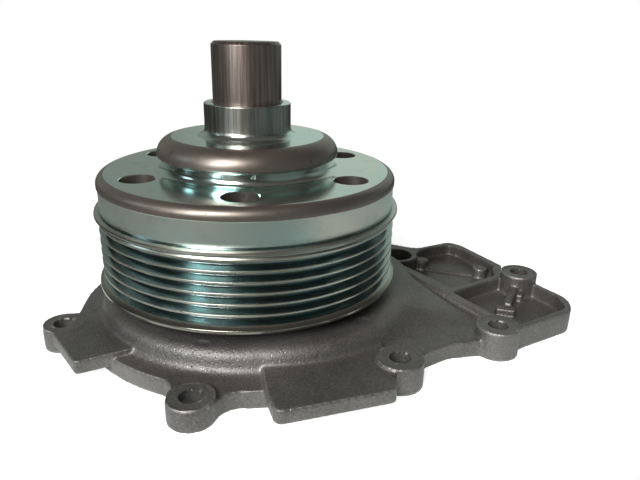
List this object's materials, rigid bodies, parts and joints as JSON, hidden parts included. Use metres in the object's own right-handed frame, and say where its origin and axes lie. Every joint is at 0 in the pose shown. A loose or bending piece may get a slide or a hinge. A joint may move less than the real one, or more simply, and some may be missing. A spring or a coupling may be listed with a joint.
{
  "type": "water pump",
  "caption": "Engine water pump: cast flanged volute housing with a ribbed belt pulley, domed hub and fan journal on a sealed bearing, with impeller and face seal.",
  "frame": {"origin": "where the pump axis meets the gasket face of the housing", "axes": "+Z along the pump axis from the gasket face to the fan journal; +X from the axis towards the ribbed tray on the outlet side; +Y completes the right-handed set, so -Y faces the bolt lobe beside the larger rest pad"},
  "size_m": [0.1917, 0.1528, 0.1004],
  "materials": {
    "cast_aluminium": "matte shot-blasted casting",
    "pulley_steel": "turned bright, forging skin on the shoulders",
    "ground_steel": "ground",
    "bearing_steel": "polished",
    "cage_plastic": "moulded, brown",
    "seal_rubber": "moulded black",
    "gasket_rubber": "moulded black",
    "pressed_steel": "zinc plated",
    "brass": "drawn",
    "spring_steel": "bright wire",
    "carbon": "lapped carbon",
    "ceramic": "lapped ceramic",
    "impeller_resin": "glass-filled resin"
  },
  "bodies": {
    "housing_body": {"housing": "cast_aluminium", "flange_gasket": "gasket_rubber", "bearing_outer_ring": "bearing_steel", "bearing_seal_front": "seal_rubber", "bearing_seal_rear": "seal_rubber", "seal_cup": "brass", "seal_bellows": "seal_rubber", "seal_spring": "spring_steel", "seal_spring_cup": "pressed_steel", "seal_carbon_ring": "carbon"},
    "rotor": {"bearing_shaft": "ground_steel", "pulley": "pulley_steel", "slinger": "pressed_steel", "seal_seat_ring": "ceramic", "seal_seat_boot": "seal_rubber", "impeller": "impeller_resin", "impeller_insert": "pressed_steel"},
    "ball_train": {"ball_cage": "cage_plastic", "bearing_balls": "bearing_steel"},
    "roller_train": {"roller_cage": "cage_plastic", "bearing_rollers": "bearing_steel"}
  },
  "joints": [
    {"name": "rotor_spin", "type": "hinge", "parent": "housing_body", "child": "rotor", "pos_m": [0, 0, 0.04], "axis": [0, 0, 1], "continuous": true},
    {"name": "ball_train_spin", "type": "hinge", "parent": "housing_body", "child": "ball_train", "pos_m": [0, 0, 0.04], "axis": [0, 0, 1], "continuous": true},
    {"name": "roller_train_spin", "type": "hinge", "parent": "housing_body", "child": "roller_train", "pos_m": [0, 0, 0.04], "axis": [0, 0, 1], "continuous": true}
  ],
  "couplings": [
    {"joint": "ball_train_spin", "follows": "rotor_spin", "ratio": 0.3571},
    {"joint": "roller_train_spin", "follows": "rotor_spin", "ratio": 0.3954}
  ]
}
